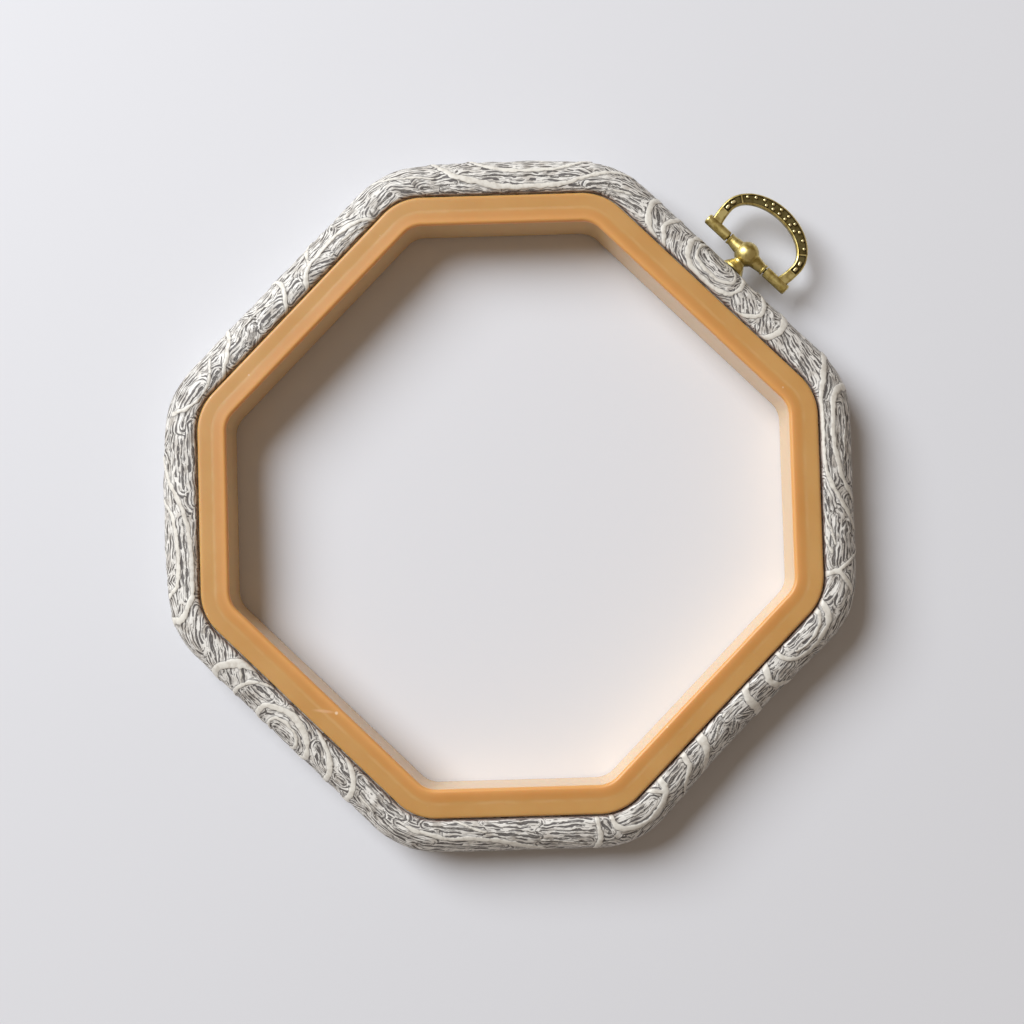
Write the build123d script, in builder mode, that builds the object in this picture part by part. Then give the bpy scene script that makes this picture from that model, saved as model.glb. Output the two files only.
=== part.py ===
"""Octagonal embroidery hoop of the flexible kind: a rigid inner ring is pressed into a soft outer ring,
with one layer of cloth between them, and a D-shaped loop on a ball post hangs the finished work on a wall.

Frame: the hoop lies on its back on Z = 0, +Z is the side that shows the stitching, the origin is the
middle of the work window, and the hanger points along +Y. All sizes are in millimetres.
"""
from build123d import *
from math import atan2, cos, degrees, radians, sin, sqrt
import os

# Hoop as a whole. Four long sides face X and Y, which gives its width, and four short sides face the
# corners between them, which gives its diagonal width.
hoop_width = 155.0
diagonal_width = 163.5
hoop_height = 14.6
seam_corner_radius = 13.0
cloth_gap = 0.35

# Outer ring, soft vinyl with a D-shaped section
outer_ring_width = 8.5
crown_width = 1.0
side_flat_height = 2.0
seam_shoulder_radius = 1.2
back_edge_radius = 0.8

# Inner ring, rigid plastic. A lip round its face sits in a rebate of the outer ring.
inner_ring_width = 6.85
lip_thickness = 1.6
lip_overhang = 1.0
lip_edge_radius = 0.3
face_edge_radius = 0.5
flat_band_width = 3.3
rim_rise = 0.4
crease_radius = 4.0
rim_radius = 1.3

# Screw from the inside of the outer ring into the post, and the washer under its head
screw_radius = 1.2
screw_head_radius = 2.5
screw_head_height = 1.7
screw_head_round = 0.8
screw_head_recess = 0.4
screw_tip_chamfer = 0.3
slot_width = 0.7
slot_depth = 0.8
washer_radius = 3.5
washer_thickness = 0.5
washer_edge = 0.15
hole_clearance = 0.05
washer_clearance = 0.2
thread_clearance = 0.02

# Cup washer on the outside of the ring
cup_rim_radius = 3.0
cup_rim_thickness = 0.4
cup_top_radius = 1.9
cup_height = 2.1

# Post: a ball between two tapered collars, on a short neck
ball_radius = 3.0
neck_radius = 1.6
neck_length = 0.2
collar_reach = 5.75
collar_flange_radius = 1.4
collar_flange_width = 0.45
collar_step = 0.2
collar_outer_radius = 1.25
collar_inner_radius = 1.7

# Pivot pin through the post and into the loop's two barrels
pin_radius = 0.6
pin_end_gap = 0.3
pin_chamfer = 0.15
running_clearance = 0.05
tip_to_pin = 0.5

# Hanging loop
loop_half_width = 12.35
loop_reach = 14.4
loop_thickness = 1.8
loop_edge_radius = 0.45
side_band = 2.55
apex_band = 3.0
leg_height = 5.4
leg_lean = 0.6
foot_width = 2.9
barrel_radius = 1.3
barrel_overhang = 0.5
barrel_end_wall = 1.8
barrel_end_round = 0.5
barrel_mouth_chamfer = 0.2
collar_gap = 0.3

# Ornament on the front of the loop: a channel between two rims, with rows of beads and two cross bars
channel_rim = 0.4
channel_depth = 0.25
channel_start = 4.2
cross_bar_width = 0.35
bead_radius = 0.45
bead_height = 0.35
bead_round = 0.3
bead_to_rim = 0.1
long_bead_length = 1.4

# Turns of the ornament from the loop's apex, in degrees
outer_row_turns = [-54, -42, -30, -18, -6, 6, 18, 30, 42, 54]
inner_row_turns = [-25, -15, -5, 5, 15, 25]
cross_bar_turns = [-63, 63]
long_bead_turns = [-92, -79, 79, 92]

# One overrun serves every cut that has to pass a face
overrun = 1.0

# The seam line is the outer edge of the inner ring's face. Both rings follow it.
seam_long_half = hoop_width / 2 - outer_ring_width - cloth_gap
seam_short_half = diagonal_width / 2 - outer_ring_width - cloth_gap
seam_run = seam_short_half * sqrt(2) - seam_long_half

# Flanks of the outer ring, as round as its height leaves room for above and below the flat of its side,
# and its width beside the crown and the shoulder at the seam
flank_radius = min(
    (hoop_height - side_flat_height) / 2,
    outer_ring_width - crown_width - seam_shoulder_radius,
)

# Places across the rings, counted outward from the seam line
soft_wall = cloth_gap - lip_overhang
rigid_wall = -lip_overhang
soft_outside = cloth_gap + outer_ring_width
lip_underside = hoop_height - lip_thickness
rebate_floor = lip_underside - cloth_gap
window_wall = -inner_ring_width
rim_height = hoop_height + rim_rise

# Places along Y, from the inner wall of the outer ring out to the loop
mid_height = hoop_height / 2
inner_wall_y = seam_long_half + soft_wall
outer_face_y = hoop_width / 2
pocket_floor_y = inner_wall_y + washer_thickness + screw_head_height + screw_head_recess
head_seat_y = pocket_floor_y - washer_thickness
cup_top_y = outer_face_y + cup_height
bar_y = cup_top_y + neck_length + ball_radius
screw_tip_y = bar_y - pin_radius - tip_to_pin

# Places along X on the crossbar
barrel_start = collar_reach + collar_gap
barrel_end = loop_half_width + barrel_overhang
bore_end = barrel_end - barrel_end_wall
pin_half_length = bore_end - pin_end_gap
leg_outside = loop_half_width - leg_lean
leg_inside = leg_outside - foot_width

# Half width and reach of the loop's two edges, of its middle and of the bead rows beside its rims
channel_floor = loop_thickness / 2 - channel_depth
bead_inset = channel_rim + bead_to_rim + bead_radius
outer_edge = (loop_half_width, loop_reach)
inner_edge = (loop_half_width - side_band, loop_reach - apex_band)
middle_line = (loop_half_width - side_band / 2, loop_reach - apex_band / 2)
outer_row = (loop_half_width - bead_inset, loop_reach - bead_inset)
inner_row = (loop_half_width - side_band + bead_inset, loop_reach - apex_band + bead_inset)

hanger_level = Plane.XY.offset(mid_height)
bar_level = Plane(origin=(0, bar_y, mid_height))
screw_axis = Axis((0, 0, mid_height), (0, 1, 0))
bar_axis = Axis((0, bar_y, mid_height), (1, 0, 0))


def radial_plane(y):
    """Plane square to the screw at a distance y from the hoop's middle, facing outward."""
    return Plane(origin=(0, y, mid_height), x_dir=(1, 0, 0), z_dir=(0, 1, 0))


def bar_plane(x):
    """Plane square to the crossbar at a distance x from its middle."""
    return Plane(origin=(x, bar_y, mid_height), x_dir=(0, 1, 0), z_dir=(1, 0, 0))


def band_outline(rim):
    """Face of the loop's D-shaped band, drawn a rim inside its real edges."""
    with BuildSketch() as outline:
        with BuildLine():
            for (half_width, reach), foot, inset in (
                (outer_edge, leg_outside, rim),
                (inner_edge, leg_inside, -rim),
            ):
                side = half_width - inset
                TangentArc((side, leg_height), (foot - inset, 0), tangent=(0, -1))
                EllipticalCenterArc((0, leg_height), side, reach - inset - leg_height, arc_size=180)
                TangentArc((-side, leg_height), (inset - foot, 0), tangent=(0, -1))
            Line((leg_inside + rim, 0), (leg_outside - rim, 0))
            Line((-leg_inside - rim, 0), (-leg_outside + rim, 0))
        make_face()
    return outline.sketch


def band_place(turn, half_width, reach):
    """Place on an oval line of the band, a turn in degrees from the apex, with its X along the line."""
    height = reach - leg_height
    across, up = sin(radians(turn)), cos(radians(turn))
    slope = degrees(atan2(-height * across, half_width * up))
    return Location((half_width * across, leg_height + height * up, 0), (0, 0, slope))


# Seam line, an octagon with rounded corners, and the plane of both ring sections at its start
with BuildLine() as seam_line:
    FilletPolyline(
        (seam_long_half, -seam_run),
        (seam_long_half, seam_run),
        (seam_run, seam_long_half),
        (-seam_run, seam_long_half),
        (-seam_long_half, seam_run),
        (-seam_long_half, -seam_run),
        (-seam_run, -seam_long_half),
        (seam_run, -seam_long_half),
        radius=seam_corner_radius,
        close=True,
    )
seam = seam_line.wire()
along_seam = seam % 0
section_plane = Plane(origin=seam @ 0, x_dir=along_seam.cross(Vector(0, 0, 1)), z_dir=-along_seam)

# Outer ring: D-shaped section with a rebate for the lip, swept round the seam line
outer_corners = [
    (soft_wall, 0, back_edge_radius),
    (soft_outside, 0, flank_radius),
    (soft_outside, hoop_height, flank_radius),
    (cloth_gap, hoop_height, seam_shoulder_radius),
    (cloth_gap, rebate_floor, lip_edge_radius),
    (soft_wall, rebate_floor, lip_edge_radius),
]
with BuildPart() as outer_ring:
    with BuildSketch(section_plane):
        with BuildLine():
            FilletPolyline(
                *[(across, up) for across, up, _ in outer_corners],
                radius=[radius for _, _, radius in outer_corners],
                close=True,
            )
        make_face()
    sweep(path=seam)
    # Pocket for the screw's head and its washer, then the hole for the screw itself
    with BuildSketch(radial_plane(pocket_floor_y)):
        Circle(washer_radius + washer_clearance)
    extrude(amount=-(pocket_floor_y - inner_wall_y + overrun), mode=Mode.SUBTRACT)
    with BuildSketch(radial_plane(inner_wall_y)):
        Circle(screw_radius + hole_clearance)
    extrude(amount=outer_face_y - inner_wall_y + overrun, mode=Mode.SUBTRACT)
outer_ring.part.label = "outer_ring"

# Inner ring: the lip, a flat band, a soft crease and a band that rises to the window's rim
inner_corners = [
    (0, lip_underside, lip_edge_radius),
    (0, hoop_height, face_edge_radius),
    (-flat_band_width, hoop_height, crease_radius),
    (window_wall, rim_height, rim_radius),
    (window_wall, 0, back_edge_radius),
    (rigid_wall, 0, back_edge_radius),
    (rigid_wall, lip_underside, lip_edge_radius),
]
with BuildPart() as inner_ring:
    with BuildSketch(section_plane):
        with BuildLine():
            FilletPolyline(
                *[(across, up) for across, up, _ in inner_corners],
                radius=[radius for _, _, radius in inner_corners],
                close=True,
            )
        make_face()
    sweep(path=seam)
inner_ring.part.label = "inner_ring"

# Hanger screw: slotted pan head inside the ring, shank through it, tip in the post short of the pin
with BuildPart() as hanger_screw:
    with BuildSketch(hanger_level) as head_profile:
        with Locations((0, head_seat_y)):
            Rectangle(screw_head_radius, screw_head_height, align=(Align.MIN, Align.MAX))
        fillet(head_profile.vertices().sort_by(Axis.X)[-2:].sort_by(Axis.Y)[:1], screw_head_round)
    revolve(axis=screw_axis)
    with BuildSketch(radial_plane(head_seat_y)):
        Circle(screw_radius)
    extrude(amount=screw_tip_y - head_seat_y)
    chamfer(hanger_screw.faces().sort_by(Axis.Y)[-1].edges(), screw_tip_chamfer)
    with BuildSketch(radial_plane(head_seat_y - screw_head_height)):
        Rectangle(2 * screw_head_radius + overrun, slot_width)
    extrude(amount=slot_depth, mode=Mode.SUBTRACT)
hanger_screw.part.label = "hanger_screw"

# Backing washer between the screw's head and the floor of the pocket
with BuildPart() as backing_washer:
    with BuildSketch(radial_plane(head_seat_y)):
        Circle(washer_radius)
        Circle(screw_radius + washer_clearance, mode=Mode.SUBTRACT)
    extrude(amount=washer_thickness)
    chamfer(backing_washer.edges().filter_by(GeomType.CIRCLE).sort_by(SortBy.RADIUS)[-2:], washer_edge)
backing_washer.part.label = "backing_washer"

# Cup washer: a shallow cone with a thin rim, seated on the outer face
with BuildPart() as cup_washer:
    with BuildSketch(hanger_level):
        with BuildLine():
            Polyline(
                (screw_radius + hole_clearance, outer_face_y),
                (cup_rim_radius, outer_face_y),
                (cup_rim_radius, outer_face_y + cup_rim_thickness),
                (cup_top_radius, cup_top_y),
                (screw_radius + hole_clearance, cup_top_y),
                close=True,
            )
        make_face()
    revolve(axis=screw_axis)
cup_washer.part.label = "cup_washer"

# Hanger post: ball and collars turned round the crossbar, neck down to the cup washer,
# a cross hole for the pin and a blind threaded hole for the screw
ball_edge = sqrt(ball_radius**2 - collar_inner_radius**2)
with BuildPart() as hanger_post:
    with BuildSketch(bar_level):
        with BuildLine():
            Polyline(
                (-ball_edge, collar_inner_radius),
                (-collar_reach + collar_flange_width + collar_step, collar_outer_radius),
                (-collar_reach + collar_flange_width, collar_flange_radius),
                (-collar_reach, collar_flange_radius),
                (-collar_reach, 0),
                (collar_reach, 0),
                (collar_reach, collar_flange_radius),
                (collar_reach - collar_flange_width, collar_flange_radius),
                (collar_reach - collar_flange_width - collar_step, collar_outer_radius),
                (ball_edge, collar_inner_radius),
            )
            ThreePointArc(
                (ball_edge, collar_inner_radius), (0, ball_radius), (-ball_edge, collar_inner_radius)
            )
        make_face()
    revolve(axis=bar_axis)
    with BuildSketch(radial_plane(cup_top_y)):
        Circle(neck_radius)
    extrude(amount=neck_length + ball_radius)
    with BuildSketch(bar_plane(0)):
        Circle(pin_radius)
    extrude(amount=collar_reach + overrun, both=True, mode=Mode.SUBTRACT)
    with BuildSketch(radial_plane(cup_top_y)):
        Circle(screw_radius + thread_clearance)
    extrude(amount=screw_tip_y - cup_top_y + thread_clearance, mode=Mode.SUBTRACT)
hanger_post.part.label = "hanger_post"

# Pivot pin, a press fit in the post and a running fit in the barrels
with BuildPart() as pivot_pin:
    with BuildSketch(bar_plane(0)):
        Circle(pin_radius)
    extrude(amount=pin_half_length, both=True)
    chamfer(pivot_pin.faces().filter_by(Axis.X).edges(), pin_chamfer)
pivot_pin.part.label = "pivot_pin"

# Hanging loop: a D-shaped band whose two legs end in barrels on the pin
with BuildPart() as hanging_loop:
    with BuildSketch(bar_level):
        add(band_outline(0))
    extrude(amount=loop_thickness / 2, both=True)
    band_edges = hanging_loop.faces().filter_by(Axis.Z).edges()
    fillet(band_edges.filter_by(lambda edge: edge.center().Y > bar_y + overrun), loop_edge_radius)
    for side in (-1, 1):
        with BuildSketch(bar_plane(side * barrel_start)):
            Circle(barrel_radius)
        extrude(amount=side * (barrel_end - barrel_start))
    barrel_faces = hanging_loop.faces().filter_by(Axis.X).sort_by(Axis.X)
    fillet(barrel_faces[0].edges() + barrel_faces[-1].edges(), barrel_end_round)
    for side in (-1, 1):
        with BuildSketch(bar_plane(side * barrel_start)):
            Circle(pin_radius + running_clearance)
        extrude(amount=side * (bore_end - barrel_start), mode=Mode.SUBTRACT)
    mouths = hanging_loop.faces().filter_by(Axis.X).filter_by_position(Axis.X, -barrel_start, barrel_start)
    chamfer(
        mouths.edges().filter_by(lambda edge: edge.radius == barrel_radius), barrel_mouth_chamfer
    )
    # Channel on the front, then the beads on its floor
    with BuildSketch(bar_level.offset(channel_floor)):
        add(band_outline(channel_rim))
        with Locations((0, channel_start)):
            Rectangle(
                2 * loop_half_width, loop_reach, align=(Align.CENTER, Align.MIN), mode=Mode.INTERSECT
            )
        for turn in cross_bar_turns:
            with Locations(band_place(turn, *middle_line)):
                Rectangle(cross_bar_width, 2 * apex_band, mode=Mode.SUBTRACT)
    extrude(amount=loop_thickness, mode=Mode.SUBTRACT)
    with BuildSketch(bar_level.offset(channel_floor)):
        for turns, row in ((outer_row_turns, outer_row), (inner_row_turns, inner_row)):
            with Locations([band_place(turn, *row) for turn in turns]):
                Circle(bead_radius)
        with Locations([band_place(turn, *middle_line) for turn in long_bead_turns]):
            SlotOverall(long_bead_length, 2 * bead_radius)
    extrude(amount=bead_height)
    fillet(hanging_loop.faces().filter_by(Axis.Z).group_by(Axis.Z)[-1].edges(), bead_round)
hanging_loop.part.label = "hanging_loop"

os.makedirs("parts", exist_ok=True)
pieces = [
    outer_ring,
    inner_ring,
    hanger_screw,
    backing_washer,
    cup_washer,
    hanger_post,
    pivot_pin,
    hanging_loop,
]
for piece in pieces:
    export_step(piece.part, f"parts/{piece.part.label}.step")
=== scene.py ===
# %% [markdown]
# # An octagonal embroidery hoop
#
# The hoop has two rings. A soft vinyl ring, embossed like weathered wood, is stretched over a rigid tan
# ring, and a small brass loop hangs the finished work on a wall. It lies on its back on a pale table.
#
# The rings, the screw, the post and the loop come from the CAD frame in metres, so nothing is fitted by
# eye. This lesson gives them what a solid can't carry: the carved grain, the finishes and the light.

# %% Frame and tools
import math

import bmesh
import bpy
import numpy as np
from mathutils import Matrix, Vector, noise


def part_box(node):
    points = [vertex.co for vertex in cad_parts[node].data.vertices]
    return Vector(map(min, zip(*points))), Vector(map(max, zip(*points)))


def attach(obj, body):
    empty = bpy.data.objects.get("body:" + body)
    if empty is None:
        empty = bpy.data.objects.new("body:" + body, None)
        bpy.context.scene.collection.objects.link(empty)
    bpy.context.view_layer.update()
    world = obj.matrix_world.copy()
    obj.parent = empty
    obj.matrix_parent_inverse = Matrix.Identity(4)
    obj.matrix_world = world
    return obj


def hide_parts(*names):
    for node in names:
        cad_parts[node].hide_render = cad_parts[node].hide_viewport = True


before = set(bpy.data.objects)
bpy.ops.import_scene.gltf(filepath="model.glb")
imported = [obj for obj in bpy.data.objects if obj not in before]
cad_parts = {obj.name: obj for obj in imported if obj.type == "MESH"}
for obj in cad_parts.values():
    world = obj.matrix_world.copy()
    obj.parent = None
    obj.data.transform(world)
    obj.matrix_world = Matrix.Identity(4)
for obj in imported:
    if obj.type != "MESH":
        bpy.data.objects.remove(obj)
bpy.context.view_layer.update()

MM = 0.001

# %% [markdown]
# ## Camera
#
# A photograph of a flat object from above looks the same for many lenses, so the straight edges of the
# hoop were used to fit one: a pinhole 365 mm above the table, tipped a little, with the hoop turned so
# that its hanger points to the upper right of the picture. Blender wants the lens in millimetres on a
# 36 mm sensor, so the pixels are turned into those.

# %% Camera
image_pixels = 1024
lens_pixels = 1500
sensor_width = 36

camera_place = Vector((1.3, -15.3, 365.1)) * MM
camera_tip = math.radians(-2.17)
camera_lean = math.radians(-0.13)
hoop_turn = math.radians(-43.36)

to_picture = Matrix.Rotation(hoop_turn, 3, "Z")
to_camera = Matrix.Rotation(camera_tip, 3, "X") @ Matrix.Rotation(camera_lean, 3, "Y") @ to_picture

camera = bpy.data.objects.new("camera", bpy.data.cameras.new("camera"))
camera.data.sensor_width = sensor_width
camera.data.lens = lens_pixels / image_pixels * sensor_width
camera.data.clip_start = 0.01
camera.matrix_world = (
    Matrix.Translation(to_picture.transposed() @ camera_place) @ to_camera.transposed().to_4x4()
)
bpy.context.scene.collection.objects.link(camera)
bpy.context.scene.camera = camera
print("lens, mm:", round(camera.data.lens, 2))

# %% [markdown]
# ## Small helpers
#
# Colours are picked as hex values, as a paint program shows them, but shaders work in linear light, so
# one function converts them. One more adds a node of any kind. In the editor an input is either typed in
# or joined by a wire, and here too: a value goes into the socket, and a node or a socket is linked to it.
# A hidden socket, such as the ones that a Mix node has for numbers while it mixes colours, is passed over.

# %% Helpers for colours and nodes
def colour(hex_code):
    """Linear RGBA of a hex colour, by the curve of the sRGB standard."""
    parts = [int(hex_code[i : i + 2], 16) / 255 for i in (0, 2, 4)]
    return [p / 12.92 if p <= 0.04045 else ((p + 0.055) / 1.055) ** 2.4 for p in parts] + [1]


def add_node(tree, kind, *values, inputs=None, **settings):
    """Adds a shader node. Values feed its visible inputs in order, inputs feed them by name, and settings
    are its own properties. A feed is a value, a hex colour, a socket, or a node for its first output.
    """
    node = tree.nodes.new("ShaderNode" + kind)
    for name, setting in settings.items():
        setattr(node, name, setting)
    feeds = list(zip((socket for socket in node.inputs if socket.enabled), values))
    feeds += [(node.inputs[name], feed) for name, feed in (inputs or {}).items()]
    for socket, feed in feeds:
        if isinstance(feed, bpy.types.Node):
            feed = next(output for output in feed.outputs if output.enabled)
        if isinstance(feed, bpy.types.NodeSocket):
            tree.links.new(feed, socket)
        else:
            socket.default_value = colour(feed) if isinstance(feed, str) else feed
    return node


def new_material(name):
    """An empty node material and its tree."""
    material = bpy.data.materials.new(name)
    material.use_nodes = True
    material.node_tree.nodes.clear()
    return material, material.node_tree


print("grey 808080 in linear light:", [round(part, 3) for part in colour("808080")[:3]])

# %% [markdown]
# ## Table and light
#
# The table is one plain pale sheet, because only the hoop matters. The hoop was lit from its upper left by
# one soft window. A sun lamp would make every shadow equally sharp, and a picture of a room would add
# colours of its own. So one large round lamp stands far off, at about 42 degrees above the table, which
# gives a shadow with a soft edge, and a dim warm world fills the shadows as a room does.

# %% Table
table_size = 6.0
table_drop = 0.02 * MM

bm = bmesh.new()
bmesh.ops.create_grid(bm, x_segments=1, y_segments=1, size=table_size / 2)
bmesh.ops.translate(bm, verts=bm.verts, vec=(0, 0, -table_drop))
table_mesh = bpy.data.meshes.new("table")
bm.to_mesh(table_mesh)
bm.free()
table = bpy.data.objects.new("table", table_mesh)
bpy.context.scene.collection.objects.link(table)

laminate, tree = new_material("matt white laminate")
shader = add_node(tree, "BsdfPrincipled", inputs={"Base Color": "E6E6E8", "Roughness": 0.6})
add_node(tree, "OutputMaterial", shader)
table_mesh.materials.append(laminate)
print("table, m:", table_size, "finish:", laminate.name)

# %% Lamp and world
lamp_height_angle = math.radians(42)
lamp_picture_angle = math.radians(141)
lamp_distance = 2.2
lamp_size = 1.5
lamp_watts = 62
room_glow = 0.2

lamp_direction = to_picture.transposed() @ Vector(
    (
        math.cos(lamp_height_angle) * math.cos(lamp_picture_angle),
        math.cos(lamp_height_angle) * math.sin(lamp_picture_angle),
        math.sin(lamp_height_angle),
    )
)
lamp_data = bpy.data.lights.new("window", "AREA")
lamp_data.shape = "DISK"
lamp_data.size = lamp_size
lamp_data.energy = lamp_watts
lamp_data.color = colour("F3F8FF")[:3]
lamp = bpy.data.objects.new("window", lamp_data)
lamp.location = lamp_direction * lamp_distance
lamp.rotation_mode = "QUATERNION"
lamp.rotation_quaternion = lamp_direction.to_track_quat("Z", "Y")
bpy.context.scene.collection.objects.link(lamp)

world = bpy.data.worlds.new("room")
world.use_nodes = True
room = world.node_tree.nodes["Background"]
room.inputs["Color"].default_value = colour("FFE7D0")
room.inputs["Strength"].default_value = room_glow
bpy.context.scene.world = world
bpy.context.scene.view_settings.view_transform = "Standard"
print("lamp at, m:", [round(value, 2) for value in lamp.location])

# %% [markdown]
# ## Soft outer ring: its body
#
# The real ring is one band of soft vinyl, moulded to look like weathered wood. A curve with a bevel would
# give its shape, but not a mesh that knows which way the grain runs. So its section is drawn once, a
# vertex bevel rounds each corner of it, and the spin operator carries it round the octagon: a spin without
# an angle along each side, a real one round each corner. The long faces that this leaves are divided.
# The work is done in millimetres, because those are the numbers on the drawing of the part.

# %% Sizes of both rings, mm
outer_high, inner_high = (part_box(ring)[1] / MM for ring in ("outer_ring", "inner_ring"))
hoop_height = outer_high.z
long_half = inner_high.x
outer_width = outer_high.x - long_half
diagonal_width = 163.5
# The frame's metres carry rounding noise, so a size that is worked out goes back to whole hundredths
short_half = round(diagonal_width / 2 - outer_width, 2)
seam_radius = 13.0

side_count = 8
side_turn = math.tau / side_count
corner_trim = seam_radius * math.tan(side_turn / 2)
side_distances = [long_half, short_half] * 4
half_lengths = [
    short_half * math.sqrt(2) - long_half - corner_trim,
    long_half * math.sqrt(2) - short_half - corner_trim,
] * 4
corner_length = seam_radius * side_turn
seam_length = 2 * sum(half_lengths) + side_count * corner_length
print("seam, mm:", round(seam_length, 1), "sides, mm:", [round(2 * half, 1) for half in half_lengths[:2]])

# %% Section and sweep
small_gap = 0.01


def draw_section(bm, corners, edge_step):
    """Closed section of a ring at the start of its first side. A corner is (across, up, radius, steps)."""
    verts = [bm.verts.new((long_half + across, -half_lengths[0], up)) for across, up, _, _ in corners]
    bm.faces.new(verts)
    edges_in = [vert.co - verts[i - 1].co for i, vert in enumerate(verts)]
    turns = [edge.angle(edges_in[(i + 1) % len(verts)]) for i, edge in enumerate(edges_in)]
    for vert, turn, (_, _, radius, steps) in zip(verts, turns, corners):
        reach = radius * math.tan(turn / 2)
        bmesh.ops.bevel(
            bm, geom=[vert], affect="VERTICES", offset=reach, segments=steps, profile=0.5, material=-1
        )
    bmesh.ops.delete(bm, geom=bm.faces[:], context="FACES_ONLY")
    for edge in bm.edges[:]:
        cuts = int(edge.calc_length() / edge_step)
        if cuts:
            bmesh.ops.subdivide_edges(bm, edges=[edge], cuts=cuts)


def sweep_round(bm, straight_step, corner_steps):
    """Carries the section round the octagon and closes the ring."""
    moving = bm.verts[:] + bm.edges[:]
    for side in range(side_count):
        angle = side * side_turn
        outward = Vector((math.cos(angle), math.sin(angle), 0))
        along = Vector((-math.sin(angle), math.cos(angle), 0))
        centre = outward * (side_distances[side] - seam_radius) + along * half_lengths[side]
        run = along * 2 * half_lengths[side]
        spun = bmesh.ops.spin(bm, geom=moving, axis=(0, 0, 1), dvec=run, angle=0, steps=1)
        spun = bmesh.ops.spin(
            bm, geom=spun["geom_last"], cent=centre, axis=(0, 0, 1), angle=side_turn, steps=corner_steps
        )
        moving = spun["geom_last"]
    bmesh.ops.remove_doubles(bm, verts=bm.verts, dist=small_gap)
    for half in half_lengths[:2]:
        long_edges = [edge for edge in bm.edges if abs(edge.calc_length() - 2 * half) < small_gap]
        cuts = round(2 * half / straight_step) - 1
        bmesh.ops.subdivide_edges(bm, edges=long_edges, cuts=cuts, use_grid_fill=True)
    bmesh.ops.recalc_face_normals(bm, faces=bm.faces)


print("points are merged within, mm:", small_gap)

# %% Section of the soft ring, mm
cloth_gap = 0.35
lip_overhang = 1.0
lip_thickness = 1.6
lip_edge_radius = 0.3
back_edge_radius = 0.8
shoulder_radius = 1.2
flank_radius = 6.3

lip_underside = hoop_height - lip_thickness
rebate_floor = round(lip_underside - cloth_gap, 2)
soft_wall = cloth_gap - lip_overhang
soft_corners = [
    (cloth_gap, hoop_height, shoulder_radius, 6),
    (outer_width, hoop_height, flank_radius, 34),
    (outer_width, 0, flank_radius, 20),
    (soft_wall, 0, back_edge_radius, 3),
    (soft_wall, rebate_floor, lip_edge_radius, 2),
    (cloth_gap, rebate_floor, lip_edge_radius, 2),
]
soft_edge_step = 0.51
soft_straight_step = 0.52
soft_corner_steps = 28
print("rebate for the lip, mm:", round(lip_overhang, 2), "wide, its floor at", round(rebate_floor, 2))

# %% Body of the soft ring
def measure_section(bm, layer, start):
    """Writes how far each point is round the section, from a start and upward first, into a layer."""
    here = min(bm.verts, key=lambda vert: (vert.co - start).length)
    edge = max(here.link_edges, key=lambda link: link.other_vert(here).co.z)
    length = 0
    for _ in bm.verts[1:]:
        length += edge.calc_length()
        here = edge.other_vert(here)
        here[layer] = length
        edge = next(link for link in here.link_edges if link is not edge)


soft_bm = bmesh.new()
round_section = soft_bm.verts.layers.float.new("round_section")
draw_section(soft_bm, soft_corners, soft_edge_step)
seam_start = Vector((long_half + cloth_gap, -half_lengths[0], hoop_height - shoulder_radius))
measure_section(soft_bm, round_section, seam_start)
print("points in the section:", len(soft_bm.verts))
sweep_round(soft_bm, soft_straight_step, soft_corner_steps)
soft_mesh = bpy.data.meshes.new("soft_ring")
soft_bm.to_mesh(soft_mesh)
soft_bm.free()
print("faces in the soft ring:", len(soft_mesh.polygons))

# %% [markdown]
# ## Soft outer ring: where the grain runs
#
# The mould was carved by hand with pale ridges, and the wood grain between them changes direction from
# patch to patch. Each point of the ring needs to know how far it is from a ridge, and each face how far it
# is along the grain and across it. That could be painted, but it can also be worked out: unroll the ring
# to a flat strip, with u along the seam and v from the seam over the crown and down the outside. A ridge
# is a line on that strip with a width at each end. The grain of a patch runs along a short core line and
# round its ends, as wood grows round a knot, and a face belongs to the core that is nearest for its reach.
# A pinch of noise bends both, because a carver's hand is never that even.

# %% Unrolled places of the points
def along_seam(x, y):
    """Distance of points along the seam line, mm, from the start of the first long side."""
    u = np.zeros(x.shape)
    start = 0
    for side in range(side_count):
        angle = side * side_turn
        out = x * math.cos(angle) + y * math.sin(angle)
        forward = y * math.cos(angle) - x * math.sin(angle)
        half = half_lengths[side]
        straight = (np.abs(forward) <= half) & (out > 0)
        u[straight] = start + forward[straight] + half
        start += 2 * half
        turn = np.arctan2(forward - half, out - side_distances[side] + seam_radius)
        corner = (forward > half) & (turn > 0) & (turn <= side_turn)
        u[corner] = start + turn[corner] * seam_radius
        start += corner_length
    return u


def wrapped(u):
    """The same place on the closed strip, half a round forward or back at most."""
    return (u + seam_length / 2) % seam_length - seam_length / 2


hanger_u = along_seam(np.array([0.0]), np.array([long_half]))
print("the hanger sits along the seam at, mm:", hanger_u.round(1))

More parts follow.
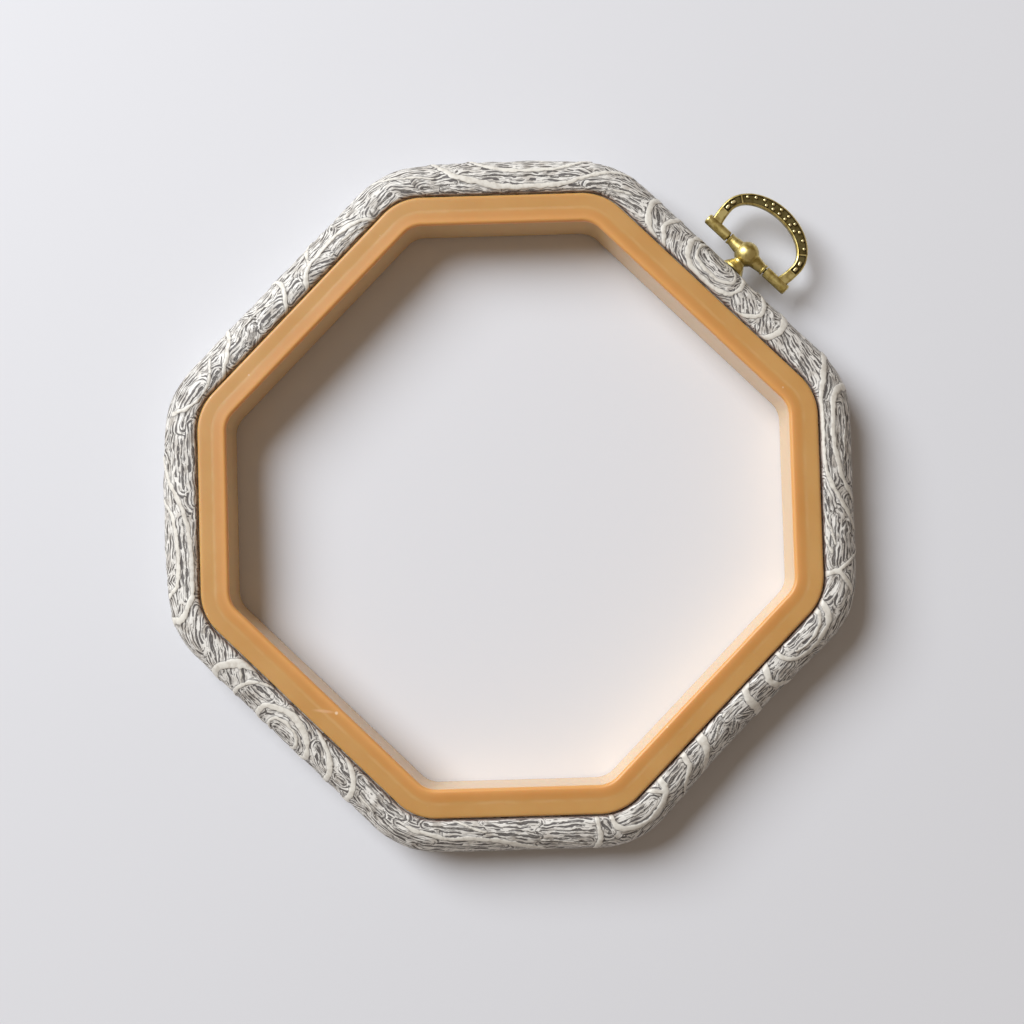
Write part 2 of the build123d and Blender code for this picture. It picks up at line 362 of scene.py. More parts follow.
# %% Ridges of the strip, mm
# Half width at the start and at the end of each pale ridge, and its points
ridges = [
    # First long side, and round the corner before it
    (0.6, 0.9, [
        (456.8, 0), (457.2, 3.2), (458.8, 5.2), (462, 6.2),
        (466, 6.3), (469, 5), (470.6, 3.4), (471, 0),
    ]),
    (0.7, 0.5, [(2.6, 0), (3.7, 2.4), (5.6, 4.4)]),
    (0.9, 0.35, [(14.3, 0), (14, 2.8), (13.2, 4.6), (11.2, 6), (9, 7.8), (7, 10.5)]),
    (1.2, 0.5, [(19.7, 0), (19.8, 3.2), (18.6, 5.4), (16.4, 7.4), (14, 10)]),
    (0.3, 0.3, [(21.6, 4.6), (23.6, 3.4), (26, 2.2), (29, 1.7), (32.6, 2.3)]),
    (0.9, 1.2, [(35.8, 0), (34.7, 2.3), (34, 4.4), (34, 8), (33.2, 12)]),
    (0.8, 0.8, [(42.9, 0), (41.6, 2.4), (40.4, 4.2), (40.6, 6), (42, 8), (44.5, 12)]),
    (0.6, 0.8, [
        (46.2, 0), (46.8, 3.4), (48.4, 5.6), (51, 6.7),
        (54.5, 6.8), (58, 6), (60.8, 4.2), (62.4, 0),
    ]),
    (0.7, 0.3, [(60, 0), (59.6, 2.2), (58, 3.7), (55.5, 4.7), (52, 4.9), (49.6, 4)]),
    # Short side
    (0.75, 0.5, [(68.6, 0), (69, 2), (68.8, 4), (67.5, 5.8), (65.6, 8)]),
    (0.5, 0.4, [(69.2, 4), (70.4, 5.8), (72.4, 8.5), (75, 13)]),
    (0.35, 0.5, [(73.4, 2.3), (75, 1.6), (77, 0.7)]),
    (0.3, 0.4, [(75.4, 3.1), (79, 2.4), (82, 1.3), (84.2, 0.4)]),
    (0.6, 0.65, [(79, 10), (82, 7.6), (86.8, 4.4), (91.8, 1.8), (96, 1.2), (105, 1.1), (109, 1.1)]),
    (0.65, 0.7, [(109, 1.1), (110.8, 2), (112.8, 3.9), (114.8, 6.4), (116, 11), (114, 16)]),
    (0.6, 0.75, [
        (86, 9.5), (89.9, 6.3), (92.4, 5.2), (99.2, 3.7),
        (105.2, 3.7), (108.6, 4.4), (110.4, 6.2), (110, 11),
    ]),
    (0.3, 0.25, [(94.6, 6.3), (98.5, 6.7), (105.5, 7.1)]),
    # Long side of the hanger
    (0.7, 1.1, [(129.2, 0), (127.6, 1.8), (126.7, 3.9), (126.8, 6), (127.8, 9), (130, 14)]),
    (0.5, 0.75, [(137.4, 0.8), (135.4, 1.6), (133.2, 3.2), (132.6, 5), (133.6, 7.2), (136, 11), (139, 17)]),
    (0.7, 0.7, [(144, 13), (141, 9.4), (140.3, 6), (141, 3.2), (144.2, 1.5), (148.6, 1.1), (152.6, 1.5)]),
    (0.7, 0.7, [
        (152.6, 1.5), (155.6, 3.4), (156.7, 6), (156.3, 9.4),
        (153.4, 13.6), (148, 15.2), (144, 13),
    ]),
    (0.5, 0.5, [(144.6, 10), (142.8, 7), (143, 5), (145.4, 3.6), (149.4, 3.1), (152.8, 4)]),
    (0.5, 0.5, [(152.8, 4), (154.6, 6.4), (154.2, 9.4), (152, 11.8), (147.6, 12.4), (144.6, 10)]),
    (0.5, 0.75, [(160.4, 0.6), (162.4, 2.3), (163.7, 4.2), (163.5, 6.2), (162.4, 9), (161, 15)]),
    (0.6, 0.95, [(163.4, 0.8), (166, 1.6), (168, 3.3), (169.3, 5.6), (169.6, 8.6), (168, 14)]),
    (0.35, 0.3, [(174.5, 4.6), (178, 2.6), (180.6, 0.8)]),
    # Short side
    (0.5, 0.75, [(176.5, 9.5), (180.2, 6.4), (183.4, 3.9), (188.8, 2.4), (196, 2), (203, 1.9), (208, 3.2)]),
    (0.75, 0.6, [(208, 3.2), (212.6, 4.3), (216.6, 6.4), (219.5, 10), (220.5, 15)]),
    (0.5, 0.6, [(183, 11), (186, 7.6), (192, 5.9), (201, 5.8), (208, 7.6), (211, 11)]),
    (0.3, 0.4, [(219, 4.6), (223, 5), (227.4, 6.6), (230, 9)]),
    # Long side
    (0.5, 0.7, [
        (234.4, 0), (236.2, 2.8), (240, 4.5), (245, 5.1),
        (250, 5), (254, 4.4), (256, 3), (257.8, 0),
    ]),
    (0.35, 0.25, [(237.4, 1.6), (240.4, 2.8), (244.2, 3.1), (247.8, 2.2)]),
    (0.5, 0.6, [(253, 4.6), (251.6, 8), (248, 12.4), (246, 18)]),
    (0.55, 0.6, [(264.8, 0), (263.4, 2.4), (261.6, 4.4), (260.6, 7.4), (262, 12)]),
    (0.35, 0.3, [(265, 4.6), (269, 6.2), (274, 6.2), (278, 4.6)]),
    (0.6, 0.6, [(286.4, 0.4), (284, 2.4), (281.4, 4), (278.8, 6.4), (277, 11), (278, 16)]),
    # Short side, and round the corner before it
    (0.4, 0.5, [(285, 7), (287.4, 4), (290, 2.2), (293, 1.8), (296.2, 3.4), (297.4, 7)]),
    (0.6, 0.65, [(306, 10.5), (312.3, 7), (317.2, 4.3), (322, 2.8), (327.8, 2.2), (333, 2), (338.6, 2)]),
    (0.65, 0.7, [(338.6, 2), (340.8, 3.2), (342.2, 5), (342.7, 8), (342, 13)]),
    (0.5, 0.6, [(316, 10), (319.4, 6.6), (325, 5.4), (333, 5.1), (337.4, 5.9), (338.6, 9)]),
    # Long side
    (1.0, 0.9, [(360.2, 0.4), (357.4, 1.9), (355.3, 3.9), (354, 6.4), (354.4, 9), (356, 13)]),
    (0.5, 0.6, [(367, 0.8), (364, 1.8), (362, 3.6), (361, 6), (360.6, 9), (361.6, 14)]),
    (0.25, 0.3, [(357.6, 2.4), (359.4, 3.9), (361, 5.8)]),
    (0.75, 0.8, [
        (371, 13.5), (368.2, 10), (367.8, 6.6), (369, 4.4),
        (371.4, 2.9), (375.4, 2.2), (378.6, 3),
    ]),
    (0.75, 0.75, [
        (378.6, 3), (381.2, 4.3), (383, 6.4), (383.7, 9.4),
        (381, 13.6), (376, 15.4), (371, 13.5),
    ]),
    (0.5, 0.5, [(372.6, 11.4), (371, 8), (372.2, 5.4), (375, 4.4), (378, 5), (380.2, 7.4), (379.6, 11)]),
    (0.5, 0.85, [(381.4, 0.8), (385, 2.2), (388, 3.7), (389.8, 6), (390.6, 9), (389.6, 15)]),
    (0.6, 0.9, [(390.8, 0.8), (394, 2.4), (396.1, 4.4), (397.2, 7), (397.3, 10), (395.6, 16)]),
    (0.4, 0.25, [(399, 5.4), (402.4, 5.4), (404.6, 6.6)]),
    # Short side
    (0.35, 0.3, [(420.4, 0.6), (424.5, 2.5), (428, 3.6)]),
    (0.5, 0.8, [
        (411, 3.4), (415, 3.9), (418.2, 5), (423, 5.2),
        (428, 5.5), (431.6, 6.2), (435.4, 7.2), (441, 9.2),
    ]),
    (0.25, 0.25, [(440.6, 6.2), (446, 6.6), (451, 7.8)]),
    (0.5, 0.6, [(453.4, 0.4), (454.2, 3), (454.5, 6), (453.4, 10)]),
]


def rounded_line(line):
    """Cuts the corners of a line twice, so that it bends softly."""
    line = np.array(line)
    for _ in range(2):
        near, far = line[:-1] * 0.75 + line[1:] * 0.25, line[:-1] * 0.25 + line[1:] * 0.75
        line = np.concatenate([line[:1], np.stack([near, far], axis=1).reshape(-1, 2), line[-1:]])
    return line


print("ridges:", len(ridges), "with points:", sum(len(points) for _, _, points in ridges))

# %% Cores of the grain, mm
# Start and end of each core line, and its reach
cores = [
    ((458, 3), (466, 3.6), 3),
    ((7.4, 3.4), (12.2, 3), 3),
    ((15, 2.2), (18.4, 2.2), 2.5),
    ((12.6, 6.8), (17.4, 4.8), 2),
    ((21, 4), (26, 2.1), 3),
    ((27, 3), (32.5, 3.3), 3),
    ((21, 6.2), (25, 5.2), 2.5),
    ((26, 7.2), (28.4, 4.6), 2),
    ((28.6, 5), (31.6, 7.6), 2),
    ((36, 2.2), (39.5, 2.8), 2.5),
    ((36, 5.8), (39.5, 5.8), 2),
    ((43.6, 0), (47, 0), 3),
    ((43, 6.3), (47, 5.8), 2),
    ((51, -1.2), (57, -1.2), 6),
    ((63.5, 1.5), (67.5, 3.2), 2.5),
    ((63.5, 5), (67, 5.5), 2),
    ((70.5, 2.6), (82, 3.6), 4),
    ((72, 6.5), (80, 6.5), 3),
    ((83, 2.6), (90, 0.4), 2.5),
    ((78, 8.5), (86, 7.5), 3),
    ((91, 3.2), (108, 2.4), 2),
    ((92, 6.4), (107, 5.8), 2.5),
    ((109, 3), (112.5, 6), 2),
    ((113.5, 0.8), (126, 5), 5),
    ((115, 6), (125, 8.5), 4),
    ((128.8, 2), (131.8, 6), 2.5),
    ((135, 2.6), (139, 6), 3),
    ((147.5, 8.5), (150.5, 8.5), 8),
    ((164.6, 3.5), (167.4, 6.5), 2),
    ((170, 3.5), (177, 1.4), 3),
    ((171, 6.5), (178, 3.5), 3),
    ((177, 4.5), (183, 2), 2.5),
    ((184, 1.2), (203, 0.6), 1.5),
    ((185, 4.2), (212, 5), 2.5),
    ((204, 0.6), (217, 2), 2),
    ((214.5, 3.2), (222, 2.2), 3),
    ((222, 0.8), (227.5, 3.4), 2.5),
    ((228.5, 3), (233.5, 2), 2.5),
    ((239, -1.4), (246, -1.4), 4),
    ((248.5, 0.6), (254.5, 3.6), 3),
    ((258, 2.2), (262, 1.8), 2.5),
    ((264.5, 2.2), (271, 2.6), 3),
    ((272.5, 4), (276, 1.6), 3),
    ((276.5, 2.5), (281, 2), 2.5),
    ((286, 2.4), (291, 1.2), 2),
    ((291, 3), (299.5, 3.8), 3),
    ((299, 1.6), (317, 0.9), 4),
    ((302, 4), (314, 3.4), 3),
    ((318, 0.8), (330, 0.2), 1.6),
    ((321, 3.8), (339, 3.2), 2),
    ((342, 1.4), (348, 6), 4),
    ((347, 1.2), (353, 5.8), 4),
    ((355.8, 5), (358.8, 8), 2.5),
    ((358, 2.6), (361, 4.6), 2),
    ((361.5, 0.8), (370.5, 1.4), 1.5),
    ((363.2, 3.2), (367.6, 3), 3),
    ((363, 6.5), (367.5, 6.8), 2.5),
    ((375, 9), (377.5, 9), 8),
    ((384, 3.6), (388.6, 7), 3),
    ((385.5, 1), (391.5, 3.2), 2),
    ((391, 3.4), (395, 3.6), 2),
    ((392.2, 5.8), (393.6, 5.8), 2.5),
    ((396.5, 2), (404, 2.4), 3),
    ((399, 4.5), (405.5, 5), 2.5),
    ((404.5, 2.4), (409, 2), 2.5),
    ((405, 6), (415, 6.5), 3),
    ((409, 3.8), (416, 3.4), 3),
    ((414, 1.8), (427, 3.4), 3),
    ((414, 7.5), (432, 8.2), 3),
    ((428, 3.8), (440, 5.2), 3),
    ((428, 1.4), (440, 1.8), 2.5),
    ((440.5, 3.8), (453, 3.6), 4),
    ((441, 6.8), (452, 7.2), 2.5),
    ((455, 2.2), (456, 5.2), 2),
]
# The outside and the back lie this far down the strip, and the grain is calmer there
calm_step = 31
calm_reach = 6
outside, back = 13, 20
calm_starts = range(0, int(seam_length), calm_step)
cores += [((u, outside + u % 2), (u + 19, outside + 1 - u % 3), calm_reach) for u in calm_starts]
cores += [((u + 14, back), (u + 38, back + u % 2), calm_reach) for u in calm_starts]
print("cores of grain:", len(cores))


# %% Distance to ridges and cores
ridge_search = 3.0


def nearest_on(u, v, start, end):
    """Distance from a straight line, distance along it and beyond it, and how far it lies to the side."""
    du, dv = wrapped(u - start[0]), v - start[1]
    step = (end[0] - start[0], end[1] - start[1])
    length = math.hypot(*step)
    forward = (du * step[0] + dv * step[1]) / length
    sideways = (du * step[1] - dv * step[0]) / length
    beyond = forward - np.clip(forward, 0, length)
    return np.hypot(beyond, sideways), forward, beyond, sideways


def ridge_edges(u, v, widening):
    """Distance of points from the edge of the nearest pale ridge: below zero on the ridge itself."""
    nearest = np.full(u.shape, ridge_search)
    for half_start, half_end, points in ridges:
        line = rounded_line(points)
        middle = (line[:, 0].min() + line[:, 0].max()) / 2
        span = line[:, 0].max() - middle + ridge_search
        near = np.flatnonzero((np.abs(wrapped(u - middle)) < span) & (v < line[:, 1].max() + ridge_search))
        halves = np.linspace(half_start, half_end, len(line) - 1)
        for a, b, half in zip(line, line[1:], halves):
            distance = nearest_on(u[near], v[near], a, b)[0]
            nearest[near] = np.minimum(nearest[near], distance - half * widening[near])
    return nearest


def nearest_core(u, v):
    """Number of the core that each point belongs to."""
    return np.argmin([nearest_on(u, v, a, b)[0] / reach for a, b, reach in cores], axis=0)


def grain_place(u, v, owner):
    """Place of points along the grain and across it, round the core they belong to."""
    run, rise = np.zeros(u.shape), np.zeros(u.shape)
    for number, (a, b, _) in enumerate(cores):
        mine = owner == number
        distance, forward, beyond, sideways = nearest_on(u[mine], v[mine], a, b)
        turn = np.arctan2(np.abs(beyond), np.abs(sideways))
        run[mine] = forward - beyond + np.sign(beyond) * turn * distance
        run[mine] += np.where(sideways < 0, seam_length, 0) + number * seam_length
        rise[mine] = distance
    return run, rise


print("ridges are looked for within, mm:", ridge_search)

# %% [markdown]
# ## Soft outer ring: carving
#
# The pale ridges stand up and the grain between them lies lower, in shallow swells. That relief is broad
# enough to show against the light and in the outline, so it is real geometry and not a bump: each point is
# pressed in along its normal, never out, so that the ring stays the size of the part. A soft ring that was
# stretched over the other by hand is also a little fuller on some sides than on others. Lines finer than
# the mesh are left to the material, which gets the place along and across the grain as a UV map in mm.

# %% Carve the body
def read_points(collection, name, width):
    """Values of a mesh collection as an array with one row each."""
    values = np.empty(len(collection) * width)
    collection.foreach_get(name, values)
    return values.reshape(-1, width).squeeze()


def smooth(values):
    """Runs softly from 0 to 1."""
    share = np.clip(values, 0, 1)
    return share * share * (3 - 2 * share)


def noise_at(places, size):
    """Soft noise from -1 to 1 at points, with bumps of one size."""
    return np.array([noise.noise(Vector(place) / size) for place in places])


# Depths and sizes are in mm
wobble = 0.35
wobble_size = 2.6
lump_share = 0.35
lump_size = 1.7
ridge_slope = 0.35
carving_depth = 0.26
swell_depth = 0.22
swell_length = 5.0
swell_width = 1.3
flat_back = 22.0
fade_length = 2.0
# Share of the fade that is already over at the seam
fade_begun = 0.2

points = read_points(soft_mesh.vertices, "co", 3)
normals = read_points(soft_mesh.vertex_normals, "vector", 3)
point_v = read_points(soft_mesh.attributes["round_section"].data, "value", 1)
point_u = along_seam(points[:, 0], points[:, 1])
bent_u = point_u + wobble * noise_at(points, wobble_size)
bent_v = point_v + wobble * noise_at(points + seam_length, wobble_size)
ridge_edge = ridge_edges(bent_u, bent_v, 1 + lump_share * noise_at(points, lump_size))
run, rise = grain_place(bent_u, bent_v, nearest_core(bent_u, bent_v))
swell = noise_at(np.stack([run / swell_length, rise / swell_width, np.zeros(run.shape)], axis=1), 1)
lowered = smooth(ridge_edge / ridge_slope + 0.5)
press = lowered * (carving_depth + swell_depth * swell)
press *= smooth(point_v / fade_length + fade_begun) * smooth((flat_back - point_v) / fade_length)
points -= normals * press[:, None]
print("deepest carving, mm:", round(press.max(), 2))

# %% Fuller and leaner sides
# Outward, in mm, from the first long side on
side_fullness = [-0.9, 0, 0, 0.7, 0, 0.7, 0, 0]
for side, fullness in enumerate(side_fullness):
    angle = side * side_turn
    out = points[:, 0] * math.cos(angle) + points[:, 1] * math.sin(angle)
    forward = points[:, 1] * math.cos(angle) - points[:, 0] * math.sin(angle)
    share_out = np.clip((out - side_distances[side]) / outer_width, 0, 1)
    share_along = smooth((half_lengths[side] + corner_trim - np.abs(forward)) / half_lengths[side])
    shift = fullness * share_out * share_along
    points[:, 0] += shift * math.cos(angle)
    points[:, 1] += shift * math.sin(angle)
soft_mesh.vertices.foreach_set("co", (points * MM).ravel())
edge_attribute = soft_mesh.attributes.new("ridge_edge", "FLOAT", "POINT")
edge_attribute.data.foreach_set("value", ridge_edge)
print("sides pulled out by, mm:", side_fullness)

# %% Unwrap the grain
corner_points = read_points(soft_mesh.loops, "vertex_index", 1).astype(int)
corners_per_face = len(soft_mesh.loops) // len(soft_mesh.polygons)
corner_faces = np.arange(len(corner_points)) // corners_per_face
face_first = corner_points[::corners_per_face]
face_u = bent_u[face_first]
corner_u = face_u[corner_faces] + wrapped(bent_u[corner_points] - face_u[corner_faces])
face_owner = nearest_core(face_u, bent_v[face_first])
corner_run, corner_rise = grain_place(corner_u, bent_v[corner_points], face_owner[corner_faces])
grain_map = soft_mesh.uv_layers.new(name="grain")
grain_map.uv.foreach_set("vector", np.stack([corner_run, corner_rise], axis=1).ravel())
print("all faces have four corners:", len(soft_mesh.loops) == 4 * len(soft_mesh.polygons))

# %% [markdown]
# ## Helpers for patterns
#
# Every pattern below is a soft step over a noise or a distance, in millimetres on the object, so that its
# scale is a real size. Two dictionaries hold the settings that come again and again. One helper gives the
# place in millimetres, and another makes noise that runs longer one way than the other, as anything
# brushed or grown does.

# %% Helpers for patterns
soft_step = {"interpolation_type": "SMOOTHSTEP"}
colours = {"data_type": "RGBA"}
# Noise goes from 0 to 1, but it hardly leaves this range
noise_range = (0.3, 0.7)


def millimetre_place(tree):
    """Place on the object in mm."""
    place = add_node(tree, "TexCoord").outputs["Object"]
    return add_node(tree, "VectorMath", place, 1 / MM, operation="SCALE")


def stretched_noise(tree, place, length, width):
    """Flat noise from 0 to 1 with bumps that are longer along the first axis than across it."""
    squeezed = add_node(tree, "VectorMath", place, (1 / length, 1 / width, 0), operation="MULTIPLY")
    return add_node(tree, "TexNoise", squeezed, 1.0, 2.0, noise_dimensions="2D")


print("noise is taken to run from", noise_range[0], "to", noise_range[1])

# %% [markdown]
# ## Finish of the soft ring
#
# It is soft PVC, cast in the cream of bleached wood. A thin brown wash was brushed over it and wiped off:
# it stays dark in the cut lines and along the feet of the ridges, and leaves grey-brown clouds between
# them.
# Down the outside the colour gets darker, which is painted shade, and along the seam a dark brown line is
# painted shade with the reflection of the tan ring in it. A picture of wood could do the wash, but it would
# not follow the ridges. So the lines are drawn from the grain's UV map, bent and broken by noise, and one
# pattern gives the colour, the gloss and a fine bump. Cuts finer than half a millimetre would not show from
# the camera, so the fine ones are drawn as coarse as they need to be.

# %% Wood-grain vinyl: cut lines
line_pitch = 0.88
line_edge = (0.45, 0.63)
stroke_sizes = (3.2, 0.9)
fine_pitch = 0.5
fine_edge = (0.5, 0.75)
fine_sizes = (1.7, 0.5)
fine_strength = 0.6
faintest, strongest = 0.1, 1.3
bend_reach = 1.0
bend_size = 4.0
ripple_reach = 1.0
ripple_sizes = (4.0, 1.3)

vinyl, tree = new_material("washed soft PVC")
place = millimetre_place(tree)
grain = add_node(tree, "UVMap", uv_map="grain")
grain_parts = add_node(tree, "SeparateXYZ", grain)
bend_noise = add_node(tree, "TexNoise", place, 1 / bend_size, 2.0)
bend = add_node(tree, "Math", bend_noise, bend_reach, operation="MULTIPLY")
ripple_noise = stretched_noise(tree, grain, *ripple_sizes)
ripple = add_node(tree, "Math", ripple_noise, ripple_reach, operation="MULTIPLY")
shift = add_node(tree, "Math", bend, ripple, operation="ADD")
rise_bent = add_node(tree, "Math", grain_parts.outputs["Y"], shift, operation="ADD")
grain_bent = add_node(tree, "CombineXYZ", grain_parts.outputs["X"], rise_bent)


def broken_lines(pitch, edge, sizes):
    """Lines along the grain, broken into strokes, from 0 on the ground to 1 in a cut."""
    turns = add_node(tree, "Math", rise_bent, math.tau / pitch, operation="MULTIPLY")
    wave = add_node(tree, "Math", turns, operation="SINE")
    level = add_node(tree, "Math", wave, 0.5, 0.5, operation="MULTIPLY_ADD")
    strokes = stretched_noise(tree, grain_bent, *sizes)
    strength = add_node(tree, "MapRange", strokes, *noise_range, faintest, strongest, **soft_step)
    lines = add_node(tree, "Math", level, strength, operation="MULTIPLY")
    return add_node(tree, "MapRange", lines, *edge, **soft_step)


coarse = broken_lines(line_pitch, line_edge, stroke_sizes)
fine = broken_lines(fine_pitch, fine_edge, fine_sizes)
fine_faded = add_node(tree, "Math", fine, fine_strength, operation="MULTIPLY")
cuts = add_node(tree, "Math", coarse, fine_faded, operation="MAXIMUM")
print("cut lines every, mm:", line_pitch, "and", fine_pitch)

# %% Wood-grain vinyl: where the wash stays, and the painted shade
# Distances in mm from a ridge's edge, or down from the seam, between which each thing fades
ridge_fade = (-0.06, 0.1)
foot_fade = (0.4, 0.08)
# Painted shade down the outside grows between these distances from the seam
outside_shade_fade = (4.0, 8.0)
seam_fade = (1.1, 0.1)
edge_lump = 1.1
edge_ragged = 0.65
edge_shift = -0.22
foot_wash = 0.55
# Strength of the painted shade along the seam, reddish brown from the tan ring beside it
seam_shade = 0.75

ridge = add_node(tree, "Attribute", attribute_name="ridge_edge").outputs["Fac"]
down = add_node(tree, "Attribute", attribute_name="round_section").outputs["Fac"]
lumps = add_node(tree, "TexNoise", place, 1 / edge_lump, 2.0)
ragged = add_node(tree, "Math", lumps, edge_ragged, edge_shift, operation="MULTIPLY_ADD")
ridge_ragged = add_node(tree, "Math", ridge, ragged, operation="ADD")
off_ridge = add_node(tree, "MapRange", ridge_ragged, *ridge_fade, **soft_step)
# Painted shade down the outside, from 0 near the crown to 1 low on the outside
outside_shade = add_node(tree, "MapRange", down, *outside_shade_fade, **soft_step)
foot = add_node(tree, "MapRange", ridge_ragged, *foot_fade, 0.0, foot_wash, **soft_step)
# Painted shade in the seam between the rings
shade_by_seam = add_node(tree, "MapRange", down, *seam_fade, 0.0, seam_shade, **soft_step)
dark_cuts = add_node(tree, "Math", cuts, foot, operation="MAXIMUM")
print("ridges fade into the ground over, mm:", round(ridge_fade[1] - ridge_fade[0], 2))

# %% Wood-grain vinyl: colours
cloud_size = 2.6
cloud_range = (0.44, 0.68)
bare_range = (0.4, 0.7)
outside_shade_strength = 0.1
wash_strength = 0.9

cloud_noise = add_node(tree, "TexNoise", place, 1 / cloud_size, 3.0)
clouds = add_node(tree, "MapRange", cloud_noise, *cloud_range, **soft_step)
cream = add_node(tree, "Mix", clouds, "F2EEE5", "CBC4B9", **colours)
# That painted shade greys the ground and darkens the strokes low on the outside
outside_shade_share = add_node(tree, "Math", outside_shade, outside_shade_strength, operation="MULTIPLY")
ground = add_node(tree, "Mix", outside_shade_share, cream, "A89D8F", **colours)
stroke = add_node(tree, "Mix", outside_shade, "474140", "382F29", **colours)
wash_share = add_node(tree, "Math", dark_cuts, wash_strength, operation="MULTIPLY")
washed = add_node(tree, "Mix", wash_share, ground, stroke, **colours)
bare_noise = add_node(tree, "TexNoise", place, 1 / edge_lump, 3.0)
bare_share = add_node(tree, "MapRange", bare_noise, *bare_range, **soft_step)
bare = add_node(tree, "Mix", bare_share, "EBE6DA", "D9D2C5", **colours)
carved = add_node(tree, "Mix", off_ridge, bare, washed, **colours)
# The seam gets its painted shade, reddish brown from the tan ring
paint = add_node(tree, "Mix", shade_by_seam, carved, "6E4A3E", **colours)
print("nodes of the vinyl so far:", len(tree.nodes))

# %% Wood-grain vinyl: gloss and bump
cut_depth = 0.16
satin_range = (0.44, 0.64)

wash_here = add_node(tree, "Math", dark_cuts, off_ridge, operation="MULTIPLY")
height = add_node(tree, "Math", 1.0, wash_here, operation="SUBTRACT")
bump = add_node(tree, "Bump", inputs={"Height": height, "Strength": 0.8, "Distance": cut_depth * MM})
gloss = add_node(tree, "MapRange", wash_here, 0.0, 1.0, *satin_range, **soft_step)
finish = {"Base Color": paint, "Roughness": gloss, "Normal": bump, "IOR": 1.53}
shader = add_node(tree, "BsdfPrincipled", inputs=finish)
add_node(tree, "OutputMaterial", shader)
print(vinyl.name, "has", len(tree.nodes), "nodes")

# %% Soft ring in place
soft_mesh.shade_smooth()
soft_mesh.materials.append(vinyl)
soft_ring = bpy.data.objects.new("outer_ring_carved", soft_mesh)
bpy.context.scene.collection.objects.link(soft_ring)
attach(soft_ring, "outer_frame")
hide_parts("outer_ring")
print(soft_ring.name, "has", 2 * len(soft_mesh.polygons), "triangles")

# %% [markdown]
# ## Rigid inner ring
#
# This is one moulding of tan plastic: a lip, a flat band, a soft crease and a band that rises to the
# window's rim. The part carries that section, but as loose facets, and its long fillets have to catch the
# light as one clean line. The helpers that drew the soft ring draw it again in even strips. The sizes are
# the part's own, except at the rim, which is a little lower and tighter here, because the real one catches
# the light in a thinner line. No moulding is dead flat, so a very shallow sink, a few hundredths of a
# millimetre, is pressed into its faces.

# %% Body of the rigid ring
inner_width = 6.85
flat_band = 3.3
crease_radius = 4.0
face_radius = 0.7
rim_rise = 0.25
rim_radius = 0.8
rigid_corners = [
    (0, lip_underside, lip_edge_radius, 3),
    (0, hoop_height, face_radius, 6),
    (-flat_band, hoop_height, crease_radius, 4),
    (-inner_width, hoop_height + rim_rise, rim_radius, 8),
    (-inner_width, 0, back_edge_radius, 4),
    (-lip_overhang, 0, back_edge_radius, 4),
    (-lip_overhang, lip_underside, lip_edge_radius, 2),
]
rigid_edge_step = 0.8
rigid_straight_step = 1.5
rigid_corner_steps = 16

rigid_bm = bmesh.new()
inward = rigid_bm.verts.layers.float.new("inward")
draw_section(rigid_bm, rigid_corners, rigid_edge_step)
measure_section(rigid_bm, inward, Vector((long_half, -half_lengths[0], hoop_height - face_radius)))
sweep_round(rigid_bm, rigid_straight_step, rigid_corner_steps)
rigid_mesh = bpy.data.meshes.new("rigid_ring")
rigid_bm.to_mesh(rigid_mesh)
rigid_bm.free()
print("faces in the rigid ring:", len(rigid_mesh.polygons))

# %% Sink of the rigid ring
sink_depth = 0.06
sink_size = 9.0

rigid_points = read_points(rigid_mesh.vertices, "co", 3)
rigid_normals = read_points(rigid_mesh.vertex_normals, "vector", 3)
sink = sink_depth * (0.5 + 0.5 * noise_at(rigid_points, sink_size))
rigid_points -= rigid_normals * sink[:, None]
rigid_mesh.vertices.foreach_set("co", (rigid_points * MM).ravel())
print("deepest sink, mm:", round(sink.max(), 3))

# %% [markdown]
# ## Finish of the rigid ring
#
# Tan ABS straight from a polished mould: even in colour, satin, with a little light going through its
# edges. What makes it real is small. The colour drifts a little where the plastic flowed, pale specks of
# dust sit on it, and opposite the hanger there is the scar of the gate, where the plastic went in. A photo
# texture could carry those marks, but it would blur close up. Nodes that measure from a place in
# millimetres stay sharp, and the mesh tells them how far round the section they are.

# %% Tan plastic: bands of the section, with painted light
# The bands carry painted light: painted shade inside the crease, painted highlights along the crease and
# towards the rim, and a painted glow on the window wall
# Distances in mm over the face, inward from its outer edge
crease = 3.9
rim = 7.1
unsure_size = 3.0
patch_size = 7.0
patch_range = (0.35, 0.65)
unsure_reach = 0.5
# Share of the painted shade on the band inside the crease
band_shade_tint = 0.38
# Share of the painted highlight towards the rim
rim_highlight_tint = 0.6
# Painted highlight along the crease: its width and its strength
crease_highlight_fade = (0.55, 0.05)
crease_highlight_tint = (0.03, 0.18)

tan_plastic, tree = new_material("moulded tan ABS")
place = millimetre_place(tree)
inward_here = add_node(tree, "Attribute", attribute_name="inward").outputs["Fac"]
unsure_noise = add_node(tree, "TexNoise", place, 1 / unsure_size, 2.0)
unsure = add_node(tree, "Math", unsure_noise, unsure_reach, -unsure_reach / 2, operation="MULTIPLY_ADD")
zone = add_node(tree, "Math", inward_here, unsure, operation="ADD")
# Painted shade: the band inside the crease is tinted a deeper orange
inner_band_shade = add_node(tree, "MapRange", zone, crease, crease + 1.0, 0.0, band_shade_tint, **soft_step)
# Painted highlight: the band is lighter towards the rim
rim_highlight = add_node(tree, "MapRange", zone, rim - 2.0, rim - 0.2, 0.0, rim_highlight_tint, **soft_step)
# The window wall: a painted glow in its colour, and a polish in its gloss
wall = add_node(tree, "MapRange", inward_here, rim + 0.3, rim + 1.2, **soft_step)
